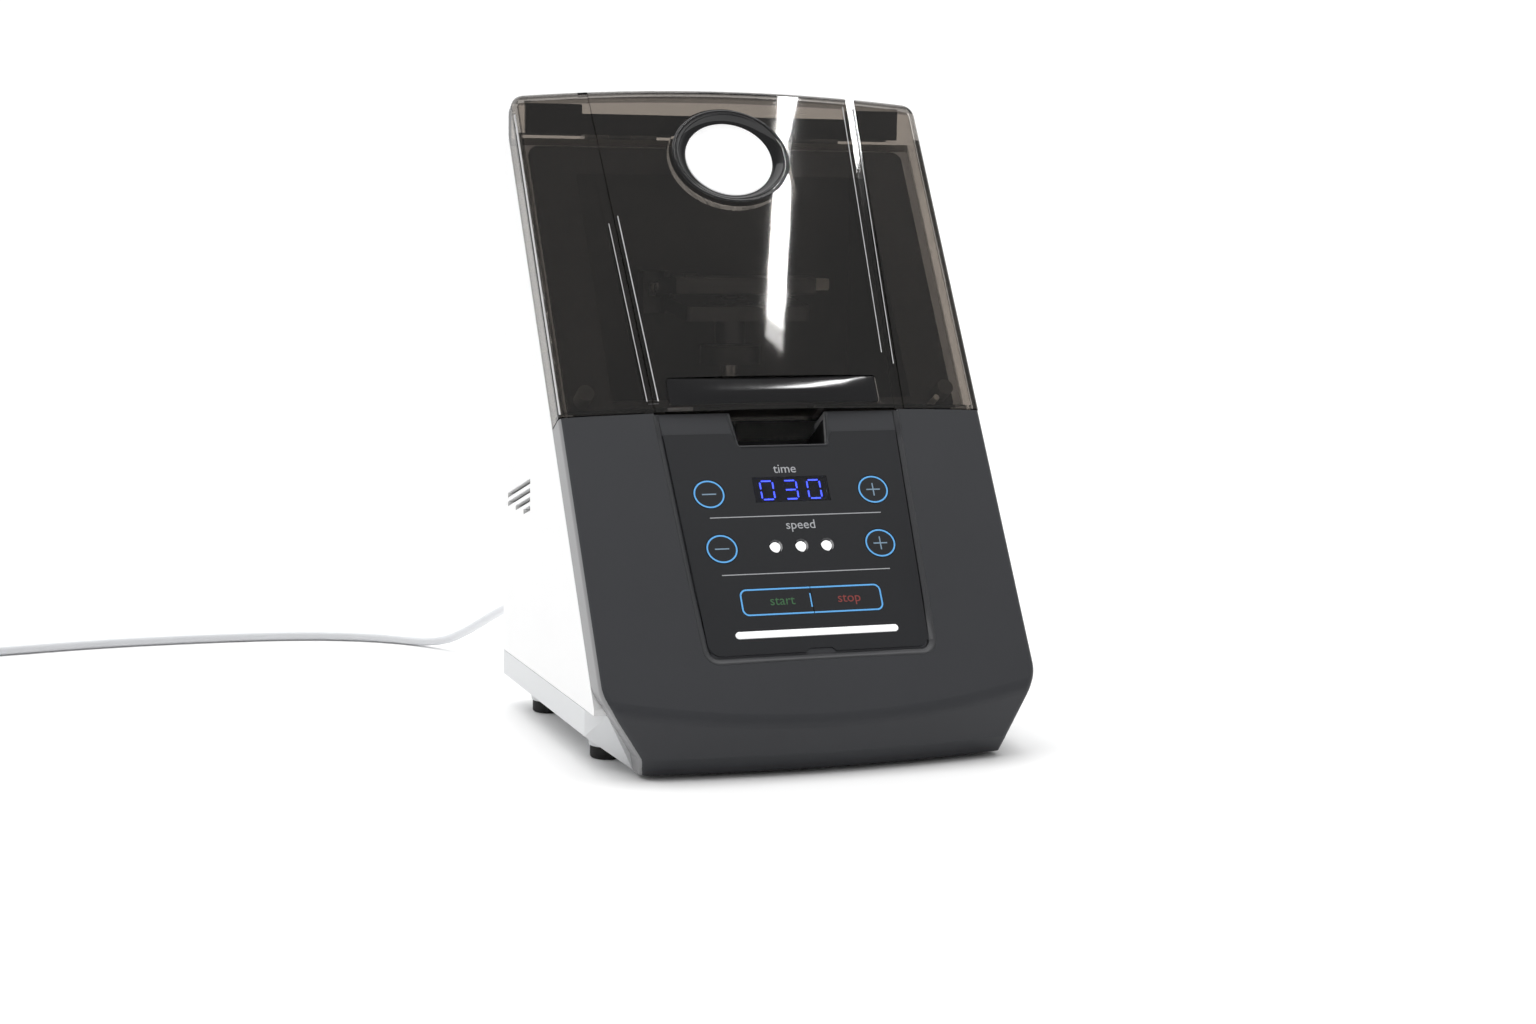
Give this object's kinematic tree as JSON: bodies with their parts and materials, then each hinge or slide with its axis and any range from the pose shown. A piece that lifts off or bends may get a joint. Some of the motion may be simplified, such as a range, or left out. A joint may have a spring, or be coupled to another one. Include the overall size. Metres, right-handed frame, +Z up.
{
  "type": "tissue homogenizer",
  "caption": "Bench-top bead-beating tissue homogenizer: white wedge body, dark sloped front with keypad and display, smoked hinged lid over a wobbling tube carrier.",
  "frame": {"origin": "on the floor, at the middle of the body's footprint without its cord", "axes": "+Z up, the sloped front faces -Y, +X to the right of someone at the keypad"},
  "size_m": [0.546, 0.3853, 0.3038],
  "materials": {
    "front_cover": "fine texture charcoal",
    "finger_cup": "moulded black",
    "keypad_overlay": "printed film",
    "display_window": "tinted clear",
    "display_module": "moulded",
    "display_segments": "lit blue",
    "speed_lamps": "diffused white",
    "light_bar": "diffused white",
    "control_board": "circuit board",
    "inner_screws": "zinc plated",
    "rear_housing": "fine texture white",
    "base_tray": "fine texture light grey",
    "outer_screws": "zinc plated",
    "rubber_feet": "moulded",
    "hinge_brackets": "pressed",
    "hinge_pins": "ground",
    "lock_solenoid": "plated frame",
    "lid_switch": "moulded",
    "chamber_liner": "moulded dark",
    "shaft_seal": "moulded",
    "rest_buffer": "moulded",
    "guide_bracket": "pressed",
    "drive_motor": "coated",
    "drive_bracket": "milled",
    "drive_isolators": "moulded",
    "shaft_bearing": "ground",
    "power_board": "circuit board",
    "driver_board": "circuit board",
    "fan_frame": "moulded",
    "power_switch": "moulded",
    "strain_relief": "moulded grey",
    "cord_free": "flexible grey sheath",
    "cord_coil": "flexible grey sheath",
    "mains_plug": "moulded grey",
    "plug_pins": "plated",
    "lid_shell": "smoked transparent",
    "lid_badge": "satin white disc",
    "lid_nameplate": "gloss black plate",
    "lid_bumpers": "soft",
    "lid_strike": "stamped",
    "lid_hinge_leaf": "dark coated",
    "time_minus_key": "printed film key",
    "time_plus_key": "printed film key",
    "speed_minus_key": "printed film key",
    "speed_plus_key": "printed film key",
    "start_key": "printed film key",
    "stop_key": "printed film key",
    "drive_shaft": "ground",
    "skew_hub": "turned",
    "counterweight": "milled",
    "tube_carrier": "anodised",
    "hub_bearing": "ground",
    "bail_pins": "ground",
    "guide_tongue": "moulded bearing plastic",
    "clamp_bail": "anodised",
    "clamp_slider": "moulded",
    "lock_bolt": "ground",
    "lid_plunger": "moulded",
    "fan_rotor": "moulded",
    "power_rocker": "moulded"
  },
  "bodies": {
    "base": {"front_cover": "front_cover", "finger_cup": "finger_cup", "keypad_overlay": "keypad_overlay", "display_window": "display_window", "display_module": "display_module", "display_segments": "display_segments", "speed_lamps": "speed_lamps", "light_bar": "light_bar", "control_board": "control_board", "inner_screws": "inner_screws", "rear_housing": "rear_housing", "base_tray": "base_tray", "outer_screws": "outer_screws", "rubber_feet": "rubber_feet", "hinge_brackets": "hinge_brackets", "hinge_pins": "hinge_pins", "lock_solenoid": "lock_solenoid", "lid_switch": "lid_switch", "chamber_liner": "chamber_liner", "shaft_seal": "shaft_seal", "rest_buffer": "rest_buffer", "guide_bracket": "guide_bracket", "drive_motor": "drive_motor", "drive_bracket": "drive_bracket", "drive_isolators": "drive_isolators", "shaft_bearing": "shaft_bearing", "power_board": "power_board", "driver_board": "driver_board", "fan_frame": "fan_frame", "power_switch": "power_switch", "strain_relief": "strain_relief", "cord_free": "cord_free", "cord_coil": "cord_coil", "mains_plug": "mains_plug", "plug_pins": "plug_pins"},
    "lid": {"lid_shell": "lid_shell", "lid_badge": "lid_badge", "lid_nameplate": "lid_nameplate", "lid_bumpers": "lid_bumpers", "lid_strike": "lid_strike", "lid_hinge_leaf": "lid_hinge_leaf"},
    "time_minus": {"time_minus_key": "time_minus_key"},
    "time_plus": {"time_plus_key": "time_plus_key"},
    "speed_minus": {"speed_minus_key": "speed_minus_key"},
    "speed_plus": {"speed_plus_key": "speed_plus_key"},
    "start": {"start_key": "start_key"},
    "stop": {"stop_key": "stop_key"},
    "shaft": {"drive_shaft": "drive_shaft", "skew_hub": "skew_hub", "counterweight": "counterweight"},
    "carrier": {"tube_carrier": "tube_carrier", "hub_bearing": "hub_bearing", "bail_pins": "bail_pins", "guide_tongue": "guide_tongue"},
    "bail": {"clamp_bail": "clamp_bail"},
    "slider": {"clamp_slider": "clamp_slider"},
    "bolt": {"lock_bolt": "lock_bolt"},
    "plunger": {"lid_plunger": "lid_plunger"},
    "fan": {"fan_rotor": "fan_rotor"},
    "rocker": {"power_rocker": "power_rocker"}
  },
  "joints": [
    {"name": "lid_hinge", "type": "hinge", "parent": "base", "child": "lid", "pos_m": [0, 0.0886, 0.284], "axis": [-1, 0, 0], "range_deg": [0, 105]},
    {"name": "time_minus_press", "type": "slide", "parent": "base", "child": "time_minus", "axis": [0, 0.8526, -0.5225], "range_m": [0, 0.0004], "stiffness_N_per_m": 400},
    {"name": "time_plus_press", "type": "slide", "parent": "base", "child": "time_plus", "axis": [0, 0.8526, -0.5225], "range_m": [0, 0.0004], "stiffness_N_per_m": 400},
    {"name": "speed_minus_press", "type": "slide", "parent": "base", "child": "speed_minus", "axis": [0, 0.8526, -0.5225], "range_m": [0, 0.0004], "stiffness_N_per_m": 400},
    {"name": "speed_plus_press", "type": "slide", "parent": "base", "child": "speed_plus", "axis": [0, 0.8526, -0.5225], "range_m": [0, 0.0004], "stiffness_N_per_m": 400},
    {"name": "start_press", "type": "slide", "parent": "base", "child": "start", "axis": [0, 0.8526, -0.5225], "range_m": [0, 0.0004], "stiffness_N_per_m": 400},
    {"name": "stop_press", "type": "slide", "parent": "base", "child": "stop", "axis": [0, 0.8526, -0.5225], "range_m": [0, 0.0004], "stiffness_N_per_m": 400},
    {"name": "shaft_spin", "type": "hinge", "parent": "base", "child": "shaft", "pos_m": [0, 0.056, 0.14], "axis": [0, 0, 1], "continuous": true},
    {"name": "carrier_wobble", "type": "hinge", "parent": "shaft", "child": "carrier", "pos_m": [0, 0.056, 0.1995], "axis": [0, -0.1045, 0.9945], "continuous": true},
    {"name": "bail_swing", "type": "hinge", "parent": "carrier", "child": "bail", "pos_m": [0, 0.06118, 0.20759], "axis": [-1, 0, 0], "range_deg": [0, 75]},
    {"name": "slider_slide", "type": "slide", "parent": "bail", "child": "slider", "axis": [1, 0, 0], "range_m": [0, 0.005]},
    {"name": "bolt_slide", "type": "slide", "parent": "base", "child": "bolt", "axis": [0, 0.5225, 0.8526], "range_m": [0, 0.005], "stiffness_N_per_m": 60},
    {"name": "plunger_slide", "type": "slide", "parent": "base", "child": "plunger", "axis": [0, -0.8526, 0.5225], "range_m": [0, 0.0025]},
    {"name": "fan_spin", "type": "hinge", "parent": "base", "child": "fan", "pos_m": [0.058, 0.0846, 0.076], "axis": [0, 1, 0], "continuous": true},
    {"name": "rocker_tilt", "type": "hinge", "parent": "base", "child": "rocker", "pos_m": [-0.082, 0.088, 0.072], "axis": [-1, 0, 0], "range_deg": [0, 16]}
  ],
  "couplings": [
    {"joint": "carrier_wobble", "follows": "shaft_spin", "ratio": -1},
    {"joint": "plunger_slide", "follows": "lid_hinge", "m_per_rad": 0.0013642}
  ]
}
